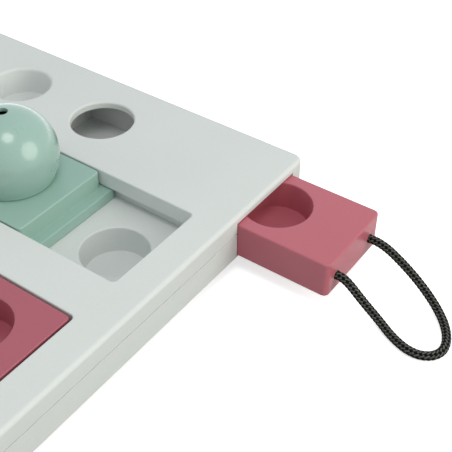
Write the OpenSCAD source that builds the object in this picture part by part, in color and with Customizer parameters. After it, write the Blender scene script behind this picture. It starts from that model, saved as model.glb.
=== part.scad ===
// Dog puzzle feeder board: two domed sliders, two cup tiles and two drawers run in a two-part shell.
// Millimetres. X runs along the board, Y to its rear, Z up. The origin is the board's middle on the table.

/* [Board] */
// Length of the board
board_l = 340; // [336:1:352]
// Depth of the board, front to rear
board_w = 230; // [228:1:240]
// Height of the playing face above the table
top_z = 35; // [34.6:0.1:36]
// Radius of the board's upright corners
corner_r = 5.5; // [5:0.1:8]
// Rounding of the playing face's outer edge
edge_r = 2.2; // [1:0.1:2.5]
// Wall of both shells
wall = 2.2; // [1.8:0.1:2.4]
// Thickness of the playing face
plate_t = 2.6; // [2:0.1:3]

/* [Sliders] */
// Length of a slider's block
slider_l = 65.4; // [62:0.2:70]
// Width of a slider's block
slider_w = 56.3; // [54:0.1:57]
// Radius of the ball that the dome knob is cut from
knob_r = 24.8; // [23:0.1:26]
// Height of the ball's centre above the slider
knob_rise = 14; // [12:0.1:15]
// Radius of the hole at the dome's top
knob_hole_r = 3; // [2:0.1:5]

/* [Cup tiles] */
// Length of a tile's block
tile_l = 60.8; // [50:0.2:61]
// Width of a tile's block
tile_w = 53.4; // [50:0.1:54]
// Radius of a tile's cup
tile_cup_r = 16.8; // [14:0.1:18]

/* [Drawers] */
// Length of a drawer
drawer_l = 138.6; // [137:0.1:139]
// Width of a drawer
drawer_w = 49.4; // [48:0.1:49.4]
// Radius of a drawer's cups
drawer_cup_r = 17.7; // [16:0.1:18.5]
// How far both drawers stand out of the board
drawer_out = 51; // [46:1:52]

/* [Bowls] */
// Radius of the bowls in the slots, at the rim
bowl_r = 17.4; // [15:0.1:18]
// Radius of the holes over the drawers
drop_r = 17.5; // [15:0.1:18]
// Radius of the dish between the drawers, at the rim
dish_r = 17.2; // [15:0.1:18]

/* [Cord] */
// Diameter of the pull cord
cord_d = 4.5; // [4:0.1:4.6]

/* [Hidden] */
$fn = 96;

// How far bodies that are joined or cut reach into each other
over = 1;
eps = 0.01;

// Heights
part_z = 24;
skirt_z = 9.6;
web_z = 16.6;
web_t = 2;
floor_z = web_z + web_t;
run_gap = 0.3;
slide_z = floor_z + run_gap;
slide_top_z = top_z - 0.1;
boss_z = 22;
lip_t = 1.2;
lip_h = 2;
lip_gap = 0.2;
seam_depth = 0.35;
seam_h = 0.5;

// Slots: the rear pair holds the sliders, the front pair the tiles
slot_x = 80.4;
slot_l = 141.8;
slot_r = 2.5;
slot_edge = 0.7;
slot_wall = 2;
slot_foot_z = 25.8;
rear_y = 14.4;
rear_w = 58.2;
front_y = -67.7;
front_w = 55.8;
flange_top_z = 25;
flange_out_x = 6.2;
flange_over = 3.5;
rail_gap = 0.4;
rail_end = 5.2;
rail_t = 1.6;
rail_top_z = 30;

// Bowls in the slots
bowl_x = [38.6, 125.2];
bowl_floor_z = 3.8;
bowl_foot_r = 16.6;
bowl_wall = 2;
bowl_edge = 0.8;

// Sliders and tiles
slider_x = 59.3;
tile_x = 119.6;
block_r = 2.2;
block_inner_r = 1;
block_edge = 0.8;
flange_edge = 0.5;
block_wall = 2;
block_plate = 2.5;
stiffener_t = 1.4;
stiffener_x = 25.5;
stiffener_y = 21.5;
tile_floor_z = 21;
tile_floor_t = 2;
tile_cup_wall = 1.8;
tile_cup_edge = 0.6;
knob_wall = 2;
knob_foot = 1.8;
knob_foot_r = sqrt(knob_r * knob_r - pow(knob_rise - knob_foot, 2));
knob_screw_r = 15.5;
knob_boss_r = 3;
knob_screw_l = 12;
knob_head_h = 1.6;

// Drawers and their tunnels
drawer_y = 78.7;
drawer_z = 10.5;
drawer_top_z = 30.2;
drawer_r = 3;
drawer_inner_r = 2.5;
drawer_edge = 0.8;
drawer_foot = 0.5;
drawer_wall = 2;
drawer_front = 3;
drawer_rear_x = board_l / 2 + drawer_out - drawer_l;
cup_x = [drawer_rear_x + 30.8, drawer_rear_x + 94.4];
cup_floor_z = 14.7;
cup_taper = 0.6;
cup_edge = 0.5;
cup_wall = 1.8;
base_t = 2;
base_gap = 0.1;
base_boss_r = 3;
tunnel_x = 29.2;
tunnel_y = 53.7;
tunnel_w = 50;
tunnel_floor_z = 10.2;
tunnel_top_z = 31;
tunnel_wall = 2;
tunnel_clear = 0.2;
guide_inset = 2;
notch_w = 1.2;
notch_h = 0.9;
lug = [4, 6, 1.1];
groove_side = 0.5;
groove_h = 1.1;
lug_x = 160;
drawer_stroke = [51, 62];
stop_gap = 0.3;
drop_x = 62.2;
drop_y = 78.5;
drop_edge = 1.2;
collar_wall = 2.2;
dish_floor_z = 19.6;
dish_h = top_z - dish_floor_z;
dish_floor_r = 15.8;
dish_edge = 1.6;
dish_wall = 1.8;

// Feet
foot_x = 150;
foot_y = 94;
foot_r = 8;
foot_h = 3;
foot_boss_r = 10;
foot_boss_z = 1.8;
foot_plate = 3.2;
foot_edge = 0.6;
foot_gap = 0.1;
foot_web_t = 2;
rib_t = 1.6;
rib_y = [-27, 42];

// Screws
shell_screw_at = [
    [162.5, -105], [-162.5, -105], [0, -106], [162.5, -27.7], [-162.5, -27.7],
    [0, -27.7], [110, 109.4], [-110, 109.4], [0, 52]
];
boss_r = 3.6;
shank_r = 1.3;
clear_r = 1.7;
head_r = 2.8;
head_h = 2;
head_room = 1.4;
boss_gap = 0.3;
thread_bite = 0.05;
pilot_l = 10;
shell_screw_l = 13;
small_shank_r = 1.05;
small_pilot_r = 1.1;
small_clear_r = 1.3;
small_head_r = 2.3;
small_head_h = 1.2;
base_screw_l = 9;
base_screw_at = [[7.6, -17], [7.6, 17], [120.6, -17], [120.6, 17]];
drive_w = 0.6;

// Cord
cord_hole_r = 2.4;
cord_hole_y = 16;
cord_hole_z = 19;
knot_r = 2.2;
knot_ring_r = 2.3;
knot_turn = 4.1;
cord_sides = 12;
cord_steps = 2;
cord_route = [
    [-6.6, 62.7, 19], [-3.2, 62.7, 19], [0.3, 62.7, 19], [4.2, 62.8, 18.3], [8.1, 62.9, 15.8],
    [12.8, 62.9, 11.9], [17.4, 62.9, 8.2], [22, 62.5, 5.3], [27, 61, 3.4], [32.5, 58.5, 2.5],
    [38.4, 56, 2.4], [44.2, 54.6, 2.4], [50, 55.1, 2.4], [54.9, 58.4, 2.4], [57, 64.2, 2.4],
    [55.3, 71.5, 2.4], [50.5, 79, 2.5], [44.2, 84.9, 3.4], [37.5, 89, 5.3], [31, 91.5, 8],
    [25, 92.9, 10.9], [18, 94, 14.2], [11.2, 94.7, 17.1], [5.4, 94.8, 18.7], [0.3, 94.7, 19],
    [-3.2, 94.7, 19], [-6.6, 94.7, 19]
];

board_c = "#d3d9d7";
mint_c = "#a5c5b9";
berry_c = "#b9707b";
rubber_c = "#3a3d3e";
steel_c = "#a9adb0";
cord_c = "#2c2f2e";

// Sweeps a section round a rounded rectangle. The section's x = 0 passes through the corners' centres.
module around(l, w, r, h) {
    cx = l / 2 - r;
    cy = w / 2 - r;
    translate([-cx, -cy, 0])
        cube([2 * cx, 2 * cy, h]);
    for (i = [0 : 3])
        translate([i == 0 || i == 3 ? cx : -cx, i < 2 ? cy : -cy, 0]) {
            rotate([0, 0, 90 * i])
                rotate_extrude(angle = 90)
                    children();
            rotate([90, 0, 90 * i])
                linear_extrude(i % 2 == 0 ? 2 * cy : 2 * cx)
                    children();
        }
}

module quarter(r) {
    intersection() {
        circle(r);
        square(r);
    }
}

// Half section of a block whose outer edges are rounded by top and foot.
module block_section(r, h, top, foot) {
    translate([0, foot])
        square([r, h - top - foot]);
    if (top > 0) {
        square([r - top, h]);
        translate([r - top, h - top])
            quarter(top);
    }
    if (foot > 0) {
        square([r - foot, h - top]);
        translate([r - foot, foot])
            mirror([0, 1])
                quarter(foot);
    }
}

// Half section of a cut that opens out in a quarter round at its top.
module flare_section(r, h, edge) {
    square([r, h]);
    translate([0, h - edge])
        difference() {
            square([r + edge, edge]);
            translate([r + edge, 0])
                circle(edge);
        }
    translate([0, h - eps])
        square([r + edge, over]);
}

// A block with rounded upright corners and rounded edges above and below.
module soft_block(l, w, r, h, top, foot = 0) {
    around(l, w, r, h)
        block_section(r, h, top, foot);
}

// A plain block with rounded upright corners.
module plain_block(l, w, r, h) {
    around(l, w, r, h)
        square([r, h]);
}

// A round cut from r at its floor to top_r at its rim, which is rounded by edge.
module round_cut(r, top_r, h, edge) {
    cylinder(r1 = r, r2 = top_r, h = h);
    translate([0, 0, h - edge])
        rotate_extrude()
            flare_section(top_r, edge, edge);
}

module pair() {
    children();
    mirror([1, 0, 0])
        children();
}

module at_bowls() {
    pair()
        for (x = bowl_x, y = [rear_y, front_y])
            translate([x, y, 0])
                children();
}

module slot_cut(y, w) {
    h = top_z - slot_foot_z + over;
    translate([slot_x, y, slot_foot_z - over])
        around(slot_l, w, slot_r, h)
            flare_section(slot_r, h, slot_edge);
}

module slot_walls(y, w) {
    h = top_z - plate_t - slot_foot_z + over;
    translate([slot_x, y, slot_foot_z])
        plain_block(slot_l + 2 * slot_wall, w + 2 * slot_wall, slot_r + slot_wall, h);
}

module mouth() {
    translate([board_l / 2 - 2 * wall, tunnel_y, tunnel_floor_z])
        cube([3 * wall, tunnel_w, tunnel_top_z - tunnel_floor_z]);
    translate([board_l / 2 - over, tunnel_y - notch_w, part_z - eps])
        cube([2 * over, tunnel_w + 2 * notch_w, notch_h]);
}

module dish_outside() {
    h = dish_h + dish_wall - over;
    translate([0, drop_y, dish_floor_z - dish_wall])
        cylinder(r1 = dish_floor_r + dish_wall, r2 = dish_r + dish_wall, h = h);
}

module pilot_holes() {
    for (p = shell_screw_at)
        translate([p[0], p[1], boss_z - over])
            cylinder(r = shank_r + thread_bite, h = pilot_l);
}

// Upper shell: playing face, slots, drop holes, dish and skirt down to the parting line
module top_shell() color(board_c) {
    inner_l = board_l - 2 * wall;
    inner_w = board_w - 2 * wall;
    skirt_h = top_z - part_z;
    guide_l = board_l / 2 - wall - tunnel_x - guide_inset;
    difference() {
        union() {
            difference() {
                translate([0, 0, part_z])
                    soft_block(board_l, board_w, corner_r, skirt_h, edge_r);
                translate([0, 0, part_z - over])
                    plain_block(inner_l, inner_w, corner_r - wall, skirt_h - plate_t + over);
            }
            pair() {
                slot_walls(rear_y, rear_w);
                slot_walls(front_y, front_w);
                translate([drop_x, drop_y, tunnel_top_z])
                    cylinder(r = drop_r + collar_wall, h = top_z - tunnel_top_z - over);
                for (y = [tunnel_y + guide_inset, tunnel_y + tunnel_w - guide_inset - rail_t])
                    translate([tunnel_x + guide_inset, y, tunnel_top_z])
                        cube([guide_l, rail_t, guide_inset]);
            }
            dish_outside();
            for (p = shell_screw_at)
                translate([p[0], p[1], boss_z])
                    cylinder(r = boss_r, h = top_z - over - boss_z);
        }
        pair() {
            slot_cut(rear_y, rear_w);
            slot_cut(front_y, front_w);
            mouth();
            translate([drop_x, drop_y, tunnel_top_z - over])
                round_cut(drop_r, drop_r, top_z - tunnel_top_z + over, drop_edge);
        }
        translate([0, drop_y, dish_floor_z])
            round_cut(dish_floor_r, dish_r, dish_h, dish_edge);
        pilot_holes();
        seam_rebate();
    }
}

// Fine groove round the board just above the parting line
module seam_rebate() {
    l = board_l - 2 * seam_depth;
    w = board_w - 2 * seam_depth;
    translate([0, 0, part_z - eps])
        difference() {
            translate([-board_l, -board_w, 0])
                cube([2 * board_l, 2 * board_w, seam_h]);
            translate([0, 0, -over])
                plain_block(l, w, corner_r - seam_depth, 3 * over);
        }
}

module rails(y, w) {
    l = slot_l + 2 * rail_end;
    d = w + 2 * flange_over + 2 * rail_gap;
    translate([slot_x, y, floor_z - over])
        difference() {
            translate([-l / 2 - rail_t, -d / 2 - rail_t, 0])
                cube([l + 2 * rail_t, d + 2 * rail_t, rail_top_z - floor_z + over]);
            translate([-l / 2, -d / 2, -over])
                cube([l, d, rail_top_z]);
        }
}

module tunnel_outside() {
    l = board_l / 2 - wall - tunnel_x + tunnel_wall;
    h = top_z - plate_t - tunnel_clear - tunnel_floor_z + tunnel_wall;
    translate([tunnel_x - tunnel_wall, tunnel_y - tunnel_wall, tunnel_floor_z - tunnel_wall])
        cube([l, tunnel_w + 2 * tunnel_wall, h]);
}

module tunnel_inside() {
    translate([tunnel_x, tunnel_y, tunnel_floor_z])
        cube([board_l / 2, tunnel_w, top_z]);
}

module foot_boss(y, top) {
    z = foot_boss_z + foot_plate - over;
    reach = 2 * (foot_boss_r - over);
    translate([foot_x, y, foot_boss_z])
        cylinder(r = foot_boss_r, h = foot_plate);
    translate([foot_x - reach / 2, y - foot_web_t / 2, z])
        cube([reach, foot_web_t, top - z]);
    translate([foot_x - foot_web_t / 2, y - reach / 2, z])
        cube([foot_web_t, reach, top - z]);
}

module web_ribs() {
    h = web_z - skirt_z + over;
    for (x = [-slot_x, 0, slot_x])
        translate([x - rib_t / 2, -board_w / 2 + wall - over, skirt_z])
            cube([rib_t, board_w / 2 - wall + tunnel_y - tunnel_wall + 2 * over, h]);
    for (y = rib_y)
        translate([-board_l / 2 + wall - over, y - rib_t / 2, skirt_z])
            cube([board_l - 2 * wall + 2 * over, rib_t, h]);
}

module lower_skirt() {
    h = part_z - skirt_z;
    difference() {
        translate([0, 0, skirt_z])
            plain_block(board_l, board_w, corner_r, h);
        translate([0, 0, skirt_z - over])
            plain_block(board_l - 2 * wall, board_w - 2 * wall, corner_r - wall, h + 2 * over);
    }
}

module bowls_outside() {
    h = floor_z - bowl_floor_z + over;
    at_bowls()
        translate([0, 0, bowl_floor_z - bowl_wall])
            cylinder(r1 = bowl_foot_r + bowl_wall, r2 = bowl_r + bowl_wall, h = h);
}

// Lower shell: skirt, slot floors with their bowls, drawer tunnels, foot bosses and stiffening ribs
module bottom_shell() color(board_c) {
    difference() {
        union() {
            lower_skirt();
            translate([0, 0, web_z])
                plain_block(board_l - 2 * wall + over, board_w - 2 * wall + over, corner_r - wall, web_t);
            shell_lip();
            bowls_outside();
            pair() {
                rails(rear_y, rear_w);
                rails(front_y, front_w);
                tunnel_outside();
                foot_boss(foot_y, tunnel_floor_z - over);
                foot_boss(-foot_y, web_z + over);
            }
            for (p = shell_screw_at)
                translate([p[0], p[1], floor_z - over])
                    cylinder(r = boss_r, h = boss_z - floor_z + over);
            web_ribs();
        }
        at_bowls()
            translate([0, 0, bowl_floor_z])
                round_cut(bowl_foot_r, bowl_r, floor_z - bowl_floor_z, bowl_edge);
        pair() {
            tunnel_inside();
            for (y = [foot_y, -foot_y])
                translate([foot_x, y, 0])
                    cylinder(r = foot_r + foot_gap, h = foot_h);
        }
        translate([0, drop_y, web_z - over])
            cylinder(r = dish_r + dish_wall + over, h = web_t + 2 * over);
        for (p = shell_screw_at)
            translate([p[0], p[1], 0]) {
                translate([0, 0, web_z - over])
                    cylinder(r = clear_r, h = boss_z);
                translate([0, 0, skirt_z - over])
                    cylinder(r = head_r + head_room, h = web_z - skirt_z + over);
                translate([0, 0, boss_z])
                    cylinder(r = boss_r + boss_gap, h = top_z);
            }
    }
    pair()
        translate([lug_x - lug[0] / 2, drawer_y - lug[1] / 2, tunnel_floor_z - eps])
            cube([lug[0], lug[1], lug[2] + eps]);
}

// Lip that locates the upper shell on the lower one
module shell_lip() {
    l = board_l - 2 * (wall + lip_gap);
    w = board_w - 2 * (wall + lip_gap);
    r = corner_r - wall - lip_gap;
    translate([0, 0, floor_z - over])
        difference() {
            plain_block(l, w, r, part_z + lip_h - floor_z + over);
            translate([0, 0, -over])
                plain_block(l - 2 * lip_t, w - 2 * lip_t, r - lip_t, part_z);
        }
}

module cross_drive(w, depth) {
    for (a = [0, 90])
        rotate([0, 0, a])
            translate([-w / 2, -drive_w / 2, -eps])
                cube([w, drive_w, depth]);
}

// A screw with its head below z = 0 and its shank above
module screw(head, thick, shank, l) {
    difference() {
        union() {
            translate([0, 0, -thick])
                cylinder(r = head, h = thick);
            cylinder(r = shank, h = l - shank);
            translate([0, 0, l - shank])
                cylinder(r1 = shank, r2 = shank / 2, h = shank);
        }
        translate([0, 0, -thick])
            cross_drive(1.3 * head, thick / 2);
    }
}

module shell_screws() color(steel_c) {
    for (p = shell_screw_at)
        translate([p[0], p[1], web_z])
            screw(head_r, head_h, shank_r, shell_screw_l);
}

module foot() color(rubber_c) {
    rotate_extrude()
        block_section(foot_r, foot_h, 0, foot_edge);
}

module foot_rear_right() {
    translate([foot_x, foot_y, 0])
        foot();
}

module foot_rear_left() {
    translate([-foot_x, foot_y, 0])
        foot();
}

module foot_front_right() {
    translate([foot_x, -foot_y, 0])
        foot();
}

module foot_front_left() {
    translate([-foot_x, -foot_y, 0])
        foot();
}

// A hollow block with the flange that keeps it in its slot
module running_block(l, w, slot_w) {
    h = slide_top_z - slide_z;
    flange_l = l + 2 * flange_out_x;
    flange_w = slot_w + 2 * flange_over;
    flange_h = flange_top_z - slide_z;
    hollow = 2 * block_wall;
    hollow_h = flange_h - block_wall + over;
    translate([0, 0, slide_z])
        difference() {
            union() {
                soft_block(l, w, block_r, h, block_edge);
                soft_block(flange_l, flange_w, block_r, flange_h, flange_edge);
            }
            translate([0, 0, -over])
                plain_block(l - hollow, w - hollow, block_inner_r, h - block_plate + over);
            translate([0, 0, -over])
                plain_block(flange_l - hollow, flange_w - hollow, block_inner_r, hollow_h);
        }
}

module at_knob_screws() {
    for (a = [90, 210, 330])
        rotate([0, 0, a])
            translate([knob_screw_r, 0, 0])
                children();
}

module slider() color(mint_c) {
    under = slide_top_z - block_plate;
    h = under - flange_top_z + over;
    translate([slider_x, rear_y, 0])
        difference() {
            union() {
                running_block(slider_l, slider_w, rear_w);
                for (y = [-stiffener_y, stiffener_y])
                    translate([-slider_l / 2 + over, y - stiffener_t / 2, flange_top_z])
                        cube([slider_l - 2 * over, stiffener_t, h]);
                for (x = [-stiffener_x, stiffener_x])
                    translate([x - stiffener_t / 2, -slider_w / 2 + over, flange_top_z])
                        cube([stiffener_t, slider_w - 2 * over, h]);
            }
            at_knob_screws()
                translate([0, 0, under - over])
                    cylinder(r = small_clear_r, h = block_plate + 2 * over);
        }
}

module slider_right() {
    slider();
}

module slider_left() {
    mirror([1, 0, 0])
        slider();
}

// Half section of the dome: a ball cut flat below, drawn in at its foot, hollow, with a hole on top
module knob_section() {
    difference() {
        union() {
            intersection() {
                circle(knob_r);
                translate([0, -knob_rise + knob_foot])
                    square(2 * knob_r);
            }
            translate([0, -knob_rise])
                square([knob_foot_r - knob_foot, knob_foot + over]);
            translate([knob_foot_r - knob_foot, -knob_rise + knob_foot])
                mirror([0, 1])
                    quarter(knob_foot);
        }
        intersection() {
            circle(knob_r - knob_wall);
            translate([0, -knob_rise + knob_foot])
                square(2 * knob_r);
        }
        translate([0, -knob_rise - over])
            square([knob_foot_r - knob_foot - knob_wall, knob_foot + 2 * over]);
        square([knob_hole_r, knob_r + over]);
    }
}

module knob() color(mint_c) {
    translate([slider_x, rear_y, slide_top_z + knob_rise])
        difference() {
            union() {
                rotate_extrude()
                    knob_section();
                intersection() {
                    at_knob_screws()
                        translate([0, 0, -knob_rise])
                            cylinder(r = knob_boss_r, h = knob_r + knob_rise);
                    sphere(knob_r - knob_wall / 2);
                }
            }
            at_knob_screws()
                translate([0, 0, -knob_rise - over])
                    cylinder(r = small_pilot_r, h = knob_screw_l + over);
        }
}

module knob_right() {
    knob();
}

module knob_left() {
    mirror([1, 0, 0])
        knob();
}

module knob_screws() color(steel_c) {
    translate([slider_x, rear_y, slide_top_z - block_plate])
        at_knob_screws()
            screw(small_head_r, knob_head_h, small_shank_r, knob_screw_l);
}

module knob_screws_right() {
    knob_screws();
}

module knob_screws_left() {
    mirror([1, 0, 0])
        knob_screws();
}

module tile() color(berry_c) {
    cup_z = tile_floor_z - tile_floor_t;
    translate([tile_x, front_y, 0])
        difference() {
            union() {
                running_block(tile_l, tile_w, front_w);
                translate([0, 0, cup_z])
                    cylinder(r = tile_cup_r + tile_cup_wall, h = slide_top_z - over - cup_z);
            }
            translate([0, 0, tile_floor_z])
                round_cut(tile_cup_r - cup_taper, tile_cup_r, slide_top_z - tile_floor_z, tile_cup_edge);
        }
}

module tile_right() {
    tile();
}

module tile_left() {
    mirror([1, 0, 0])
        tile();
}

// The drawer, placed from its rear end
module drawer() color(berry_c) {
    h = drawer_top_z - drawer_z;
    inner_l = drawer_l - drawer_wall - drawer_front;
    inner_top = h - drawer_wall;
    cup_h = drawer_top_z - cup_floor_z;
    translate([drawer_rear_x, drawer_y, drawer_z])
        difference() {
            union() {
                difference() {
                    translate([drawer_l / 2, 0, 0])
                        soft_block(drawer_l, drawer_w, drawer_r, h, drawer_edge, drawer_foot);
                    translate([drawer_wall + inner_l / 2, 0, -over])
                        plain_block(inner_l, drawer_w - 2 * drawer_wall, drawer_inner_r, inner_top + over);
                }
                for (x = cup_x)
                    translate([x - drawer_rear_x, 0, cup_floor_z - cup_wall - drawer_z])
                        cylinder(r = drawer_cup_r + cup_wall, h = cup_h + cup_wall - over);
                for (p = base_screw_at)
                    translate([p[0], p[1], base_t])
                        cylinder(r = base_boss_r, h = inner_top - base_t + over);
            }
            for (x = cup_x)
                translate([x - drawer_rear_x, 0, cup_floor_z - drawer_z])
                    round_cut(drawer_cup_r - cup_taper, drawer_cup_r, cup_h, cup_edge);
            for (p = base_screw_at)
                translate([p[0], p[1], base_t - over])
                    cylinder(r = small_pilot_r, h = base_screw_l);
            for (y = [-cord_hole_y, cord_hole_y])
                translate([drawer_l - drawer_front - over, y, cord_hole_z - drawer_z])
                    rotate([0, 90, 0])
                        cylinder(r = cord_hole_r, h = drawer_front + 2 * over);
        }
}

module drawer_right() {
    drawer();
}

module drawer_left() {
    mirror([1, 0, 0])
        drawer();
}

// Plate that closes the drawer from below, with the groove in which the stop lug runs
module drawer_base() color(berry_c) {
    l = drawer_l - drawer_wall - drawer_front - 2 * base_gap;
    w = drawer_w - 2 * drawer_wall - 2 * base_gap;
    groove_w = lug[1] + 2 * groove_side;
    stop_in = lug_x - lug[0] / 2 - stop_gap - drawer_stroke[1];
    stop_out = lug_x + lug[0] / 2 + stop_gap + drawer_stroke[0];
    difference() {
        translate([drawer_rear_x + drawer_wall + base_gap + l / 2, drawer_y, drawer_z])
            plain_block(l, w, drawer_inner_r - base_gap, base_t);
        translate([stop_in, drawer_y - groove_w / 2, drawer_z - over])
            cube([stop_out - stop_in, groove_w, groove_h + over]);
        for (p = base_screw_at)
            translate([drawer_rear_x + p[0], drawer_y + p[1], drawer_z - eps]) {
                cylinder(r = small_head_r + base_gap, h = small_head_h + eps);
                cylinder(r = small_clear_r, h = base_t + over);
            }
    }
}

module drawer_base_right() {
    drawer_base();
}

module drawer_base_left() {
    mirror([1, 0, 0])
        drawer_base();
}

module drawer_screws() color(steel_c) {
    for (p = base_screw_at)
        translate([drawer_rear_x + p[0], drawer_y + p[1], drawer_z + small_head_h])
            screw(small_head_r, small_head_h, small_shank_r, base_screw_l - over);
}

module drawer_screws_right() {
    drawer_screws();
}

module drawer_screws_left() {
    mirror([1, 0, 0])
        drawer_screws();
}

// Smooth path through the route's points
function route_at(i) = cord_route[max(0, min(len(cord_route) - 1, i))];
function curve(a, b, c, d, t) =
    0.5 * (2 * b + (c - a) * t + (2 * a - 5 * b + 4 * c - d) * t * t + (3 * b - a - 3 * c + d) * t * t * t);
cord_path = [
    for (i = [0 : len(cord_route) - 2], k = [0 : cord_steps - 1])
        curve(route_at(i - 1), route_at(i), route_at(i + 1), route_at(i + 2), k / cord_steps),
    route_at(len(cord_route) - 1)
];
function unit(v) = v / norm(v);
function heading(i) =
    unit(cord_path[min(len(cord_path) - 1, i + 1)] - cord_path[max(0, i - 1)]);
function across(i) = unit(cross([0, 0, 1], heading(i)));
function ring_point(i, j) =
    cord_path[i] + cord_d / 2 * (cos(360 * j / cord_sides) * across(i)
    + sin(360 * j / cord_sides) * cross(heading(i), across(i)));

module pull_cord() color(cord_c) {
    rings = len(cord_path);
    n = cord_sides;
    translate([board_l / 2 + drawer_out, 0, 0])
        polyhedron(
            points = [for (i = [0 : rings - 1], j = [0 : n - 1]) ring_point(i, j)],
            faces = concat(
                [[for (j = [0 : n - 1]) j]],
                [for (i = [0 : rings - 2], j = [0 : n - 1])
                    [i * n + j, (i + 1) * n + j, (i + 1) * n + (j + 1) % n, i * n + (j + 1) % n]],
                [[for (j = [n - 1 : -1 : 0]) (rings - 1) * n + j]]
            )
        );
}

// Knots behind the front wall, each two turns of the cord drawn tight
module cord_knots() color(cord_c) {
    wall_x = board_l / 2 + drawer_out - drawer_front;
    for (y = [-cord_hole_y, cord_hole_y])
        translate([wall_x - knot_r, drawer_y + y, cord_hole_z])
            rotate([0, -90, 0])
                for (z = [0, knot_turn])
                    translate([0, 0, z])
                        rotate_extrude()
                            translate([knot_ring_r, 0])
                                circle(knot_r);
}

top_shell();
bottom_shell();
shell_screws();
foot_rear_right();
foot_rear_left();
foot_front_right();
foot_front_left();
slider_right();
slider_left();
knob_right();
knob_left();
knob_screws_right();
knob_screws_left();
tile_right();
tile_left();
drawer_right();
drawer_left();
drawer_base_right();
drawer_base_left();
drawer_screws_right();
drawer_screws_left();
pull_cord();
cord_knots();
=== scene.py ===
"""Finishes and set for the dog puzzle feeder board: moulded plastics, rubber, zinc-plated screws
and a braided pull cord. Lengths are in metres, in the frame of the CAD model, with the board's
middle at the origin on the table."""

import math

import bpy
from bpy.props import FloatProperty, FloatVectorProperty, IntProperty, PointerProperty
from bpy.types import Operator, Panel, PropertyGroup
from mathutils import Matrix, Quaternion, Vector


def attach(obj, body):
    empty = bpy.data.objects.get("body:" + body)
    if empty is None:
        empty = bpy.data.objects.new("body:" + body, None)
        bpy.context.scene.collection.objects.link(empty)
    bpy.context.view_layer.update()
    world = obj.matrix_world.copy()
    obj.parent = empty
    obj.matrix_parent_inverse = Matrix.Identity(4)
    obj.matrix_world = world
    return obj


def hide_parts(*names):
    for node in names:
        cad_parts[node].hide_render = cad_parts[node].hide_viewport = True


bl_info = {
    "name": "Puzzle feeder board",
    "version": (1, 0, 0),
    "blender": (4, 5, 0),
    "location": "3D View > Sidebar > Feeder",
    "description": "Dresses the puzzle feeder board in its plastics, its cord and its set",
    "category": "Object",
}

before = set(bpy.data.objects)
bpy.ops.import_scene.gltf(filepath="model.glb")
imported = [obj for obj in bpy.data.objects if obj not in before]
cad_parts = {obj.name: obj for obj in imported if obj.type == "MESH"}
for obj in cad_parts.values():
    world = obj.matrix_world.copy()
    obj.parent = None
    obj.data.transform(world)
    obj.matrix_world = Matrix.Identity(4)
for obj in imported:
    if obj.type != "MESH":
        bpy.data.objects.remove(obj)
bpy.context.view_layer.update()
MM = 0.001


# ---------------------------------------------------------------- colours and nodes

# Map Range settings that take in nearly all of a noise texture's values
NOISE_RANGE = {"From Min": 0.3, "From Max": 0.7}


def srgb(code):
    """An sRGB hex colour as the linear values that a shader takes."""
    parts = [int(code[i : i + 2], 16) / 255 for i in (1, 3, 5)]
    return tuple(c / 12.92 if c <= 0.04045 else ((c + 0.055) / 1.055) ** 2.4 for c in parts)


def rgba(colour):
    return (*colour[:3], 1.0)


def node(owner, kind, settings=None, *sources, **links):
    """Adds a node to a material or world. Settings set its properties and sockets, sources join
    its first sockets in turn, and links join the sockets of those names."""
    made = owner.node_tree.nodes.new(kind)
    for name, value in (settings or {}).items():
        if name in made.inputs:
            made.inputs[name].default_value = value
        else:
            setattr(made, name, value)
    for socket, source in (dict(enumerate(sources)) | links).items():
        owner.node_tree.links.new(source, made.inputs[socket])
    return made


def new_material(name):
    material = bpy.data.materials.new(name)
    material.use_nodes = True
    material.node_tree.nodes.clear()
    return material


def dress(material, *names):
    """Gives CAD nodes a material in all their slots."""
    for name in names:
        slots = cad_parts[name].data.materials
        if not slots:
            slots.append(material)
        for i in range(len(slots)):
            slots[i] = material


def deselect():
    if bpy.context.mode != "OBJECT":
        bpy.ops.object.mode_set(mode="OBJECT")
    bpy.ops.object.select_all(action="DESELECT")


# ---------------------------------------------------------------- settings


def colour_setting(name, description, code):
    return FloatVectorProperty(
        name=name, description=description, subtype="COLOR", size=3, min=0, max=1, default=srgb(code)
    )


def length_setting(name, description, default, smallest, largest):
    return FloatProperty(
        name=name, description=description, default=default, min=smallest, max=largest, unit="LENGTH"
    )


def light_setting(name, description, default, largest):
    return FloatProperty(name=name, description=description, default=default, min=0, max=largest)


class FeederPlastics(PropertyGroup):
    board: colour_setting("Board", "Pale grey of both shells", "#d9dddb")
    mint: colour_setting("Mint", "Sliders and knobs", "#97b7ac")
    berry: colour_setting("Berry", "Drawers and their bases", "#bc6672")
    tile: colour_setting("Tile", "Darker berry of the cup tiles", "#a85865")
    grain: length_setting(
        "Grain", "Width of one grain of the mould's spark-eroded face", 0.45 * MM, 0.1 * MM, 2 * MM
    )


class FeederCord(PropertyGroup):
    diameter: length_setting("Diameter", "Cord's outside diameter", 4.5 * MM, 3 * MM, 5 * MM)
    carriers: IntProperty(
        name="Yarns each way", description="Yarns that wind in each direction", default=9, min=3, max=12
    )
    turn: length_setting("Turn", "Length in which a yarn goes once round", 18.9 * MM, 6 * MM, 30 * MM)
    yarn: colour_setting("Yarn", "Black yarns that wind one way", "#090a09")
    fleck: colour_setting("Fleck", "Grey-olive yarns that wind the other way", "#656661")


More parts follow.
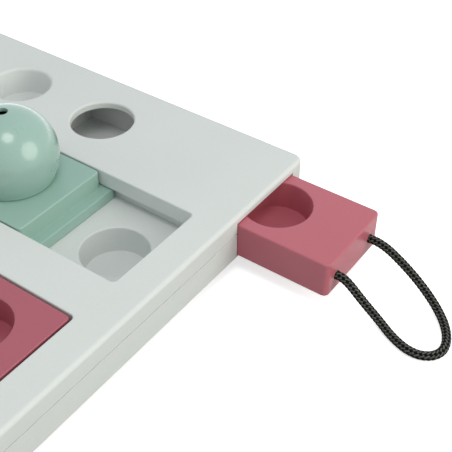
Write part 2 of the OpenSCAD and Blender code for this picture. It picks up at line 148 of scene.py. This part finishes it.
class FeederStudio(PropertyGroup):
    lens: FloatProperty(
        name="Lens", description="Focal length on a 36 mm sensor", default=72.24, min=20, max=200
    )
    roll: FloatProperty(
        name="Roll", description="Camera's turn about its axis", default=math.radians(0.5), subtype="ANGLE"
    )
    room: light_setting("Room light", "Strength of the even light from all round", 0.52, 2)
    gloss: light_setting("Mirrored room", "Strength of the room as the plastic mirrors it", 1.25, 4)
    bounce: light_setting("Floor bounce", "Share of the light that the floor throws back", 0.4, 1)
    backdrop: light_setting("Backdrop", "Glow of the far floor, as the plastic mirrors it", 1.2, 4)
    front: light_setting("Front lamp", "Power of the wide, low lamp at the board's front left", 2.6, 200)
    top: light_setting("Top lamp", "Power of the small lamp above", 2.9, 200)
    side: light_setting("Side lamp", "Power of the lamp beyond the right drawer", 5.0, 200)


# ---------------------------------------------------------------- camera

CAMERA_PLACE = (0.35672, -0.22072, 0.315)
CAMERA_LOOK = (-0.437, 0.620, -0.652)
SENSOR_MM = 36


class FEEDER_OT_camera(Operator):
    """Sets up the camera that looks down on the corner with the right drawer"""

    bl_idname = "feeder.camera"
    bl_label = "Camera"

    def execute(self, context):
        studio = context.scene.feeder_studio
        data = bpy.data.cameras.new("feeder_camera")
        data.lens = studio.lens
        data.sensor_width = SENSOR_MM
        data.clip_start = 0.01
        data.clip_end = 50
        camera = bpy.data.objects.new("feeder_camera", data)
        context.scene.collection.objects.link(camera)
        level = Vector(CAMERA_LOOK).to_track_quat("-Z", "Y")
        turned = level @ Quaternion((0, 0, 1), studio.roll)
        camera.matrix_world = Matrix.Translation(CAMERA_PLACE) @ turned.to_matrix().to_4x4()
        context.scene.camera = camera
        return {"FINISHED"}


# ---------------------------------------------------------------- pull cord

# The cord's route through the drawer's front wall and round its loop, in millimetres from the board's middle
CORD_ROUTE = [
    (214.4, 62.7, 19), (217.8, 62.7, 19), (221.3, 62.7, 19), (225.2, 62.8, 18.3), (229.1, 62.9, 15.8),
    (233.8, 62.9, 11.9), (238.4, 62.9, 8.2), (243, 62.5, 5.3), (248, 61, 3.4), (253.5, 58.5, 2.5),
    (259.4, 56, 2.4), (265.2, 54.6, 2.4), (271, 55.1, 2.4), (275.9, 58.4, 2.4), (278, 64.2, 2.4),
    (276.3, 71.5, 2.4), (271.5, 79, 2.5), (265.2, 84.9, 3.4), (258.5, 89, 5.3), (252, 91.5, 8),
    (246, 92.9, 10.9), (239, 94, 14.2), (232.2, 94.7, 17.1), (226.4, 94.8, 18.7), (221.3, 94.7, 19),
    (217.8, 94.7, 19), (214.4, 94.7, 19),
]
# Steps of the smooth curve from one point of the route to the next
ROUTE_STEPS = 24

# A yarn is a flat oval in section
BLACK_HALF_WIDTH = 0.7 * MM
GREY_HALF_WIDTH = 0.46 * MM
HALF_THICKNESS = 0.3 * MM
YARN_SIDES = 6
# How far a yarn rises and sinks as it passes over and under the others
YARN_LIFT = 0.16 * MM
# Rows of points from one crossing of yarns to the next
STEPS_PER_CROSSING = 4
# Where round the cord the first yarn starts
BRAID_START = math.radians(12)
# How far the core stays inside the ring that the yarns' undersides lie on
CORE_GAP = 0.05 * MM
CORE_SIDES = 12
# Tones run from 0 for black to 1 for grey-olive, and vary a little from yarn to yarn
GREY_TONE = 0.8
TONE_SPREAD = 0.2
# The yarns' UV map counts centimetres along the cord and turns round a yarn's section
UV_LENGTH = 10 * MM


def smooth_route(points, steps):
    """A smooth curve through the points, as the CAD tube follows it."""
    pts = [Vector(p) * MM for p in points]
    last = len(pts) - 1
    line = []
    for i in range(last):
        a, b, c, d = pts[max(0, i - 1)], pts[i], pts[i + 1], pts[min(last, i + 2)]
        for k in range(steps):
            t = k / steps
            bend = 2 * a - 5 * b + 4 * c - d
            twist = 3 * b - a - 3 * c + d
            line.append(0.5 * (2 * b + (c - a) * t + bend * t**2 + twist * t**3))
    line.append(pts[-1])
    return line


def even_steps(line, step):
    """The line's points again, the same distance apart, and the line's length."""
    length = sum((b - a).length for a, b in zip(line, line[1:]))
    count = max(2, round(length / step))
    spacing = length / count
    tolerance = 1e-12
    out = [line[0].copy()]
    gone = 0.0
    for a, b in zip(line, line[1:]):
        span = (b - a).length
        while gone + span >= spacing * len(out) - tolerance and len(out) < count:
            out.append(a.lerp(b, (spacing * len(out) - gone) / span))
        gone += span
    out.append(line[-1].copy())
    return out, length


def frames_along(line):
    """Two directions across the line at each point, carried along it without twist."""
    last = len(line) - 1
    out = []
    side = None
    for i in range(len(line)):
        ahead = (line[min(last, i + 1)] - line[max(0, i - 1)]).normalized()
        if side is None:
            side = Vector((0, 0, 1)).cross(ahead)
        side = (side - ahead * side.dot(ahead)).normalized()
        out.append((side.copy(), ahead.cross(side)))
    return out


def unit_circle(sides):
    """The corners of a polygon on a circle of radius 1."""
    angles = [2 * math.pi * j / sides for j in range(sides)]
    return [(math.cos(angle), math.sin(angle)) for angle in angles]


def core_rows(line, across, radius):
    """Rows of points round the cord's plain core, which fills the gaps between the yarns."""
    stations = list(zip(line, across))[::STEPS_PER_CROSSING] + [(line[-1], across[-1])]
    circle = unit_circle(CORE_SIDES)
    return [[p + (side * x + up * y) * radius for x, y in circle] for p, (side, up) in stations]


def yarn_rows(cord, line, across, length, ring, carrier, way):
    """Rows of points round one yarn, which winds round the core and weaves over and under the others."""
    half_width = BLACK_HALF_WIDTH if way > 0 else GREY_HALF_WIDTH
    crossing = cord.turn / (2 * cord.carriers)
    slope = math.atan2(2 * math.pi * ring * way, cord.turn)
    section = unit_circle(YARN_SIDES)
    rows = []
    for i, (p, (side, up)) in enumerate(zip(line, across)):
        s = length * i / (len(line) - 1)
        angle = BRAID_START + 2 * math.pi * (carrier / cord.carriers + way * s / cord.turn)
        # A black yarn passes over one grey yarn and then under two
        over = math.cos(2 * math.pi * (2 * carrier + way * s / crossing) / 3)
        height = ring + HALF_THICKNESS + way * YARN_LIFT * max(-1, (4 * over - 1) / 3)
        out = side * math.cos(angle) + up * math.sin(angle)
        around = up * math.cos(angle) - side * math.sin(angle)
        ahead = side.cross(up)
        flat = around * math.cos(slope) - ahead * math.sin(slope)
        rows.append([p + out * (height + y * HALF_THICKNESS) + flat * (x * half_width) for x, y in section])
    return rows


def yarn_tone(carriers, carrier, way):
    """A yarn's place in the cord's range of colour: black yarns wind one way and grey ones the other."""
    base = 0.0 if way > 0 else GREY_TONE
    return base + TONE_SPREAD * (4 * carrier % carriers) / carriers


def tube(rows):
    """Points and faces of a closed tube through rows of points. Each side face has the row and the
    place round it of its corners, which its UV map takes, and the two end faces have none."""
    n = len(rows[0])
    verts = [p for row in rows for p in row]
    faces = []
    places = []
    for i in range(len(rows) - 1):
        for j in range(n):
            k = (j + 1) % n
            faces.append((i * n + j, i * n + k, (i + 1) * n + k, (i + 1) * n + j))
            places.append(((i, j), (i, j + 1), (i + 1, j + 1), (i + 1, j)))
    faces.append(tuple(range(n - 1, -1, -1)))
    faces.append(tuple((len(rows) - 1) * n + j for j in range(n)))
    return verts, faces, places + [None, None]


def cord_mesh(tubes, step):
    """One mesh of all tubes, with each yarn's tone on its faces and a UV map along it and round it."""
    verts = []
    faces = []
    places = []
    tones = []
    for rows, tone in tubes:
        tube_verts, tube_faces, tube_places = tube(rows)
        faces += [tuple(len(verts) + i for i in face) for face in tube_faces]
        verts += tube_verts
        places += tube_places
        tones += [tone] * len(tube_faces)
    mesh = bpy.data.meshes.new("braided_cord")
    mesh.from_pydata([tuple(v) for v in verts], [], faces)
    uv_map = mesh.uv_layers.new(name="yarn_length")
    yarn = mesh.attributes.new("yarn", "FLOAT", "FACE")
    for face, corners, tone in zip(mesh.polygons, places, tones):
        face.use_smooth = True
        yarn.data[face.index].value = tone
        for loop, (i, j) in zip(face.loop_indices, corners or ()):
            uv_map.data[loop].uv = (i * step / UV_LENGTH, j / YARN_SIDES)
    return mesh


def turn_faces_out(obj):
    """Points all faces of a mesh outwards."""
    deselect()
    bpy.context.view_layer.objects.active = obj
    obj.select_set(True)
    bpy.ops.object.mode_set(mode="EDIT")
    bpy.ops.mesh.select_all(action="SELECT")
    bpy.ops.mesh.normals_make_consistent(inside=False)
    deselect()


class FEEDER_OT_pull_cord(Operator):
    """Braids the pull cord yarn by yarn along its route, round a plain core"""

    bl_idname = "feeder.pull_cord"
    bl_label = "Pull cord"

    def execute(self, context):
        cord = context.scene.feeder_cord
        ring = cord.diameter / 2 - 2 * HALF_THICKNESS - YARN_LIFT
        step = cord.turn / (2 * cord.carriers) / STEPS_PER_CROSSING
        line, length = even_steps(smooth_route(CORD_ROUTE, ROUTE_STEPS), step)
        across = frames_along(line)
        tubes = [(core_rows(line, across, ring - CORE_GAP), 0.0)]
        for way in (1, -1):
            for carrier in range(cord.carriers):
                rows = yarn_rows(cord, line, across, length, ring, carrier, way)
                tubes.append((rows, yarn_tone(cord.carriers, carrier, way)))
        obj = bpy.data.objects.new("braided_cord", cord_mesh(tubes, step))
        context.scene.collection.objects.link(obj)
        turn_faces_out(obj)
        material = braided_polyester(cord)
        obj.data.materials.append(material)
        dress(material, "cord_knots")
        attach(obj, "drawer_right")
        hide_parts("pull_cord")
        return {"FINISHED"}


def braided_polyester(cord):
    """Braided polyester: dull black yarns, and grey-olive ones that are mottled with black."""
    m = new_material("braided_polyester")
    uv = node(m, "ShaderNodeUVMap", {"uv_map": "yarn_length"}).outputs["UV"]
    tone = node(m, "ShaderNodeAttribute", {"attribute_name": "yarn"}).outputs["Fac"]
    # Blotches about 0.6 mm long, where filaments of the other colour come to the surface
    place = node(m, "ShaderNodeMapping", {"Scale": (16.0, 1.5, 1.0)}, Vector=uv)
    blotch = node(m, "ShaderNodeTexNoise", {"Scale": 1.0, "Detail": 2.0}, Vector=place.outputs["Vector"])
    mottled = node(
        m, "ShaderNodeMapRange", NOISE_RANGE | {"To Min": -0.12, "To Max": 0.12}, Value=blotch.outputs["Fac"]
    )
    share = node(m, "ShaderNodeMath", {"operation": "ADD"}, mottled.outputs["Result"], tone)
    dye = node(m, "ShaderNodeValToRGB", None, Fac=share.outputs[0])
    black, grey = dye.color_ramp.elements
    black.position = 0.32
    black.color = rgba(cord.yarn)
    grey.position = 0.95
    grey.color = rgba(cord.fleck)
    # Filaments are finer than the render can show, so their ridges are drawn about 0.3 mm wide
    ridges = node(
        m, "ShaderNodeTexWave",
        {"wave_type": "BANDS", "bands_direction": "Y", "Scale": 3.0, "Distortion": 1.5, "Detail": 1.0},
        Vector=uv,
    )
    bump = node(m, "ShaderNodeBump", {"Strength": 0.35, "Distance": 0.08 * MM}, Height=ridges.outputs["Fac"])
    shader = node(
        m, "ShaderNodeBsdfPrincipled",
        {"Roughness": 0.6, "IOR": 1.53, "Specular IOR Level": 0.04},
        **{"Base Color": dye.outputs["Color"], "Normal": bump.outputs["Normal"]},
    )
    node(m, "ShaderNodeOutputMaterial", None, Surface=shader.outputs["BSDF"])
    return m


# ---------------------------------------------------------------- plastics

# Widths of what varies over a moulded face
FLOW_WIDTH = 45 * MM
SPECK_WIDTH = 1.2 * MM
RUB_WIDTH = 18 * MM
# How much the specks change the colour, and how much handling changes the roughness
SPECK_CONTRAST = 0.012
RUB_CONTRAST = 0.05
# The bump's distance, of which its strength takes about a fifth
GRAIN_DEPTH = 0.06 * MM
# No moulded edge is quite sharp
EDGE_RADIUS = 0.4 * MM
POLISH_ROUGHNESS = 0.12


def moulded_plastic(name, colour, grain, roughness, cloud, polish=0.0):
    """Injection-moulded polypropylene: satin, with the fine even grain of the spark-eroded mould and
    a slow cloudiness in its colour where the melt has flowed. Polish is the share of mirror gloss."""
    m = new_material(name)
    where = node(m, "ShaderNodeTexCoord").outputs["Object"]
    flow = node(
        m, "ShaderNodeTexNoise", {"Scale": 1 / FLOW_WIDTH, "Detail": 3.0, "Roughness": 0.55}, Vector=where
    )
    cloudy = node(
        m, "ShaderNodeMapRange", NOISE_RANGE | {"To Min": 1 - cloud, "To Max": 1 + cloud},
        Value=flow.outputs["Fac"],
    )
    specks = node(m, "ShaderNodeTexNoise", {"Scale": 1 / SPECK_WIDTH, "Detail": 2.0}, Vector=where)
    fine = node(
        m, "ShaderNodeMapRange", NOISE_RANGE | {"To Min": 1 - SPECK_CONTRAST, "To Max": 1 + SPECK_CONTRAST},
        Value=specks.outputs["Fac"],
    )
    both = node(
        m, "ShaderNodeMath", {"operation": "MULTIPLY"}, cloudy.outputs["Result"], fine.outputs["Result"]
    )
    tint = node(m, "ShaderNodeVectorMath", {"operation": "SCALE"}, Scale=both.outputs[0])
    tint.inputs[0].default_value = colour[:3]
    # Spark-eroded grain, a few tenths of a millimetre wide
    eroded = node(
        m, "ShaderNodeTexNoise", {"Scale": 1 / grain, "Detail": 3.0, "Roughness": 0.6}, Vector=where
    )
    rounded = node(m, "ShaderNodeBevel", {"samples": 6, "Radius": EDGE_RADIUS}).outputs["Normal"]
    bump = node(
        m, "ShaderNodeBump", {"Strength": 0.22, "Distance": GRAIN_DEPTH},
        Height=eroded.outputs["Fac"], Normal=rounded,
    )
    # Handling leaves the satin a little uneven
    rubbed = node(
        m, "ShaderNodeTexNoise", {"Scale": 1 / RUB_WIDTH, "Detail": 4.0, "Roughness": 0.6}, Vector=where
    )
    satin = node(
        m, "ShaderNodeMapRange",
        NOISE_RANGE | {"To Min": roughness - RUB_CONTRAST, "To Max": roughness + RUB_CONTRAST},
        Value=rubbed.outputs["Fac"],
    )
    shader = node(
        m, "ShaderNodeBsdfPrincipled",
        {
            "IOR": 1.49, "Specular IOR Level": 0.35,
            "Coat Weight": polish, "Coat Roughness": POLISH_ROUGHNESS, "Coat IOR": 1.49,
        },
        **{
            "Base Color": tint.outputs["Vector"], "Roughness": satin.outputs["Result"],
            "Normal": bump.outputs["Normal"], "Coat Normal": rounded,
        },
    )
    node(m, "ShaderNodeOutputMaterial", None, Surface=shader.outputs["BSDF"])
    return m


class FEEDER_OT_board(Operator):
    """Gives both shells their pale grey polypropylene"""

    bl_idname = "feeder.board"
    bl_label = "Board shells"

    def execute(self, context):
        p = context.scene.feeder_plastics
        grey = moulded_plastic("moulded_polypropylene_grey", p.board, p.grain, roughness=0.48, cloud=0.01)
        dress(grey, "top_shell", "bottom_shell")
        return {"FINISHED"}


class FEEDER_OT_sliders(Operator):
    """Gives the sliders and their dome knobs their mint polypropylene"""

    bl_idname = "feeder.sliders"
    bl_label = "Sliders and knobs"

    def execute(self, context):
        p = context.scene.feeder_plastics
        satin = moulded_plastic("moulded_polypropylene_mint", p.mint, p.grain, roughness=0.38, cloud=0.015)
        dress(satin, "slider_right", "slider_left")
        # The domes' mould is polished
        glossy = moulded_plastic(
            "polished_polypropylene_mint", p.mint, p.grain, roughness=0.3, cloud=0.015, polish=0.7
        )
        dress(glossy, "knob_right", "knob_left")
        return {"FINISHED"}


class FEEDER_OT_berry_parts(Operator):
    """Gives the cup tiles, the drawers and their base plates their dusty pink polypropylene"""

    bl_idname = "feeder.berry_parts"
    bl_label = "Tiles and drawers"

    def execute(self, context):
        p = context.scene.feeder_plastics
        # A trace of gloss lies on the satin of these
        berry = moulded_plastic(
            "moulded_polypropylene_berry", p.berry, p.grain, roughness=0.36, cloud=0.02, polish=0.1
        )
        dress(berry, "drawer_right", "drawer_left", "drawer_base_right", "drawer_base_left")
        darker = moulded_plastic(
            "moulded_polypropylene_tile", p.tile, p.grain, roughness=0.36, cloud=0.02, polish=0.15
        )
        dress(darker, "tile_right", "tile_left")
        return {"FINISHED"}


# ---------------------------------------------------------------- rubber and metal

BLOOM_WIDTH = 3 * MM
SPANGLE_WIDTH = 1.2 * MM


def moulded_rubber():
    """Moulded rubber: dull, nearly black, with a dusty bloom."""
    m = new_material("moulded_rubber")
    where = node(m, "ShaderNodeTexCoord").outputs["Object"]
    patches = node(m, "ShaderNodeTexNoise", {"Scale": 1 / BLOOM_WIDTH, "Detail": 4.0}, Vector=where)
    bloom = patches.outputs["Fac"]
    tones = node(m, "ShaderNodeValToRGB", None, Fac=bloom)
    clean, dusty = tones.color_ramp.elements
    clean.color = rgba(srgb("#2c2f30"))
    dusty.color = rgba(srgb("#45494a"))
    bump = node(m, "ShaderNodeBump", {"Strength": 0.3, "Distance": 0.1 * MM}, Height=bloom)
    shader = node(
        m, "ShaderNodeBsdfPrincipled", {"Roughness": 0.82, "IOR": 1.52},
        **{"Base Color": tones.outputs["Color"], "Normal": bump.outputs["Normal"]},
    )
    node(m, "ShaderNodeOutputMaterial", None, Surface=shader.outputs["BSDF"])
    return m


def zinc_plated_steel():
    """Zinc plate over steel: bluish grey metal with a cloudy spangle a millimetre or so across."""
    m = new_material("zinc_plated_steel")
    where = node(m, "ShaderNodeTexCoord").outputs["Object"]
    crystals = node(m, "ShaderNodeTexNoise", {"Scale": 1 / SPANGLE_WIDTH, "Detail": 3.0}, Vector=where)
    spangle = crystals.outputs["Fac"]
    tones = node(m, "ShaderNodeValToRGB", None, Fac=spangle)
    dull, bright = tones.color_ramp.elements
    dull.color = rgba(srgb("#9da2a6"))
    bright.color = rgba(srgb("#c3c7c9"))
    gloss = node(m, "ShaderNodeMapRange", {"To Min": 0.25, "To Max": 0.42}, Value=spangle)
    shader = node(
        m, "ShaderNodeBsdfPrincipled", {"Metallic": 1.0},
        **{"Base Color": tones.outputs["Color"], "Roughness": gloss.outputs["Result"]},
    )
    node(m, "ShaderNodeOutputMaterial", None, Surface=shader.outputs["BSDF"])
    return m


class FEEDER_OT_feet(Operator):
    """Gives the four feet their moulded rubber"""

    bl_idname = "feeder.feet"
    bl_label = "Rubber feet"

    def execute(self, context):
        dress(moulded_rubber(), "foot_rear_right", "foot_rear_left", "foot_front_right", "foot_front_left")
        return {"FINISHED"}


class FEEDER_OT_screws(Operator):
    """Gives every screw its zinc plating"""

    bl_idname = "feeder.screws"
    bl_label = "Screws"

    def execute(self, context):
        zinc = zinc_plated_steel()
        for side in ("right", "left"):
            dress(zinc, f"knob_screws_{side}", f"drawer_screws_{side}")
        dress(zinc, "shell_screws")
        return {"FINISHED"}


# ---------------------------------------------------------------- stage

WHITE = (1, 1, 1, 1)
FLOOR_SIZE = 8
# The floor's colour where it is looked at, and its own glow there
FLOOR_WHITE = 0.9
FLOOR_GLOW = 0.15
# The camera alone sees more of the glow, which keeps the shadow pale
CAMERA_GLOW = 0.5
# The backdrop is the floor beyond the board's rear left edge: from where it starts to where it is full
BACKDROP_SIDE = (-0.6, 0.8, 0.0)
BACKDROP_START = 0.16
BACKDROP_FULL = 0.4
# The lamps point here
LIT_PLACE = (0.05, 0, 0.04)


def round_lamp(context, name, power, direction, distance, across, tint):
    """A round area lamp, in a direction from the board and at a distance from it."""
    data = bpy.data.lights.new(name, "AREA")
    data.shape = "DISK"
    data.size = across
    data.energy = power
    data.color = srgb(tint)
    lamp = bpy.data.objects.new(name, data)
    context.scene.collection.objects.link(lamp)
    away = Vector(direction).normalized()
    place = Matrix.Translation(Vector(LIT_PLACE) + away * distance)
    lamp.matrix_world = place @ away.to_track_quat("Z", "Y").to_matrix().to_4x4()


def pale_floor(studio):
    """A floor that is white to look at, but throws back only part of the light on the board."""
    m = new_material("pale_floor")
    ray = node(m, "ShaderNodeLightPath").outputs
    # 1 for what the camera sees straight, mirrored or through glass, and 0 for light that bounces
    shine = node(
        m, "ShaderNodeMath", {"operation": "MAXIMUM"}, ray["Is Glossy Ray"], ray["Is Transmission Ray"]
    )
    seen = node(m, "ShaderNodeMath", {"operation": "MAXIMUM"}, ray["Is Camera Ray"], shine.outputs[0])
    shade = node(
        m, "ShaderNodeMapRange", {"To Min": studio.bounce, "To Max": FLOOR_WHITE}, Value=seen.outputs[0]
    )
    white = node(m, "ShaderNodeBsdfDiffuse", None, Color=shade.outputs["Result"])
    glow = node(m, "ShaderNodeMapRange", {"To Max": FLOOR_GLOW}, Value=seen.outputs[0])
    straight = node(m, "ShaderNodeMapRange", {"To Max": CAMERA_GLOW}, Value=ray["Is Camera Ray"])
    own = node(m, "ShaderNodeMath", {"operation": "ADD"}, glow.outputs["Result"], straight.outputs["Result"])
    # Gloss shows the backdrop too, as a pale rim on the domes
    where = node(m, "ShaderNodeTexCoord").outputs["Object"]
    away = node(m, "ShaderNodeVectorMath", {"operation": "DOT_PRODUCT"}, where)
    away.inputs[1].default_value = BACKDROP_SIDE
    beyond = node(
        m, "ShaderNodeMapRange",
        {"interpolation_type": "SMOOTHSTEP", "From Min": BACKDROP_START, "From Max": BACKDROP_FULL},
        Value=away.outputs["Value"],
    )
    mirrored = node(
        m, "ShaderNodeMath", {"operation": "MULTIPLY"}, beyond.outputs["Result"], ray["Is Glossy Ray"]
    )
    backdrop = node(m, "ShaderNodeMapRange", {"To Max": studio.backdrop}, Value=mirrored.outputs[0])
    level = node(m, "ShaderNodeMath", {"operation": "ADD"}, own.outputs[0], backdrop.outputs["Result"])
    light = node(m, "ShaderNodeEmission", {"Color": WHITE}, Strength=level.outputs[0])
    both = node(m, "ShaderNodeAddShader", None, white.outputs[0], light.outputs[0])
    node(m, "ShaderNodeOutputMaterial", None, Surface=both.outputs[0])
    return m


def studio_world(studio):
    """White behind the board, a cool even light on it, and a brighter one where its plastic mirrors it."""
    world = bpy.data.worlds.new("studio_world")
    world.use_nodes = True
    world.node_tree.nodes.clear()
    ray = node(world, "ShaderNodeLightPath").outputs
    strength = node(
        world, "ShaderNodeMapRange", {"To Min": studio.room, "To Max": studio.gloss},
        Value=ray["Is Glossy Ray"],
    )
    room = node(
        world, "ShaderNodeBackground", {"Color": rgba(srgb("#f7fbff"))}, Strength=strength.outputs["Result"]
    )
    white = node(world, "ShaderNodeBackground", {"Color": WHITE, "Strength": 1.0})
    through = node(
        world, "ShaderNodeMath", {"operation": "MAXIMUM"}, ray["Is Camera Ray"], ray["Is Transmission Ray"]
    )
    sky = node(world, "ShaderNodeMixShader", None, through.outputs[0], room.outputs[0], white.outputs[0])
    node(world, "ShaderNodeOutputWorld", None, Surface=sky.outputs[0])
    return world


class FEEDER_OT_studio(Operator):
    """Builds the pale floor and the soft light round the board"""

    bl_idname = "feeder.studio"
    bl_label = "Stage"

    def execute(self, context):
        studio = context.scene.feeder_studio
        deselect()
        bpy.ops.mesh.primitive_plane_add(size=FLOOR_SIZE, location=(0, 0, 0))
        floor = context.active_object
        floor.name = "studio_floor"
        floor.data.materials.append(pale_floor(studio))
        context.scene.world = studio_world(studio)
        # Each with its direction, its distance and width in metres, and its tint
        round_lamp(context, "lamp_top", studio.top, (0.31, -0.18, 0.93), 1.1, 0.46, "#fffdfa")
        round_lamp(context, "lamp_side", studio.side, (0.91, 0.21, 0.37), 1.1, 0.74, "#fffff2")
        round_lamp(context, "lamp_front", studio.front, (-0.75, -0.6, 0.3), 1.3, 1.0, "#fcffe9")
        context.scene.view_settings.view_transform = "Standard"
        return {"FINISHED"}


# ---------------------------------------------------------------- panel and registration


class FEEDER_PT_panel(Panel):
    """Lists the settings and the operators in the sidebar"""

    bl_idname = "FEEDER_PT_panel"
    bl_label = "Puzzle feeder board"
    bl_space_type = "VIEW_3D"
    bl_region_type = "UI"
    bl_category = "Feeder"

    def draw(self, context):
        for group, kind in GROUPS:
            box = self.layout.box()
            for name in kind.__annotations__:
                box.prop(getattr(context.scene, group), name)
        for operator in OPERATORS:
            self.layout.operator(operator.bl_idname)


GROUPS = (
    ("feeder_plastics", FeederPlastics),
    ("feeder_cord", FeederCord),
    ("feeder_studio", FeederStudio),
)
OPERATORS = (
    FEEDER_OT_camera,
    FEEDER_OT_pull_cord,
    FEEDER_OT_board,
    FEEDER_OT_sliders,
    FEEDER_OT_berry_parts,
    FEEDER_OT_feet,
    FEEDER_OT_screws,
    FEEDER_OT_studio,
)


def register():
    for name, group in GROUPS:
        bpy.utils.register_class(group)
        setattr(bpy.types.Scene, name, PointerProperty(type=group))
    for operator in OPERATORS:
        bpy.utils.register_class(operator)
    bpy.utils.register_class(FEEDER_PT_panel)


def unregister():
    bpy.utils.unregister_class(FEEDER_PT_panel)
    for operator in reversed(OPERATORS):
        bpy.utils.unregister_class(operator)
    for name, group in reversed(GROUPS):
        delattr(bpy.types.Scene, name)
        bpy.utils.unregister_class(group)


def main():
    register()
    for operator in OPERATORS:
        group, name = operator.bl_idname.split(".")
        getattr(getattr(bpy.ops, group), name)()


if __name__ == "__main__":
    main()
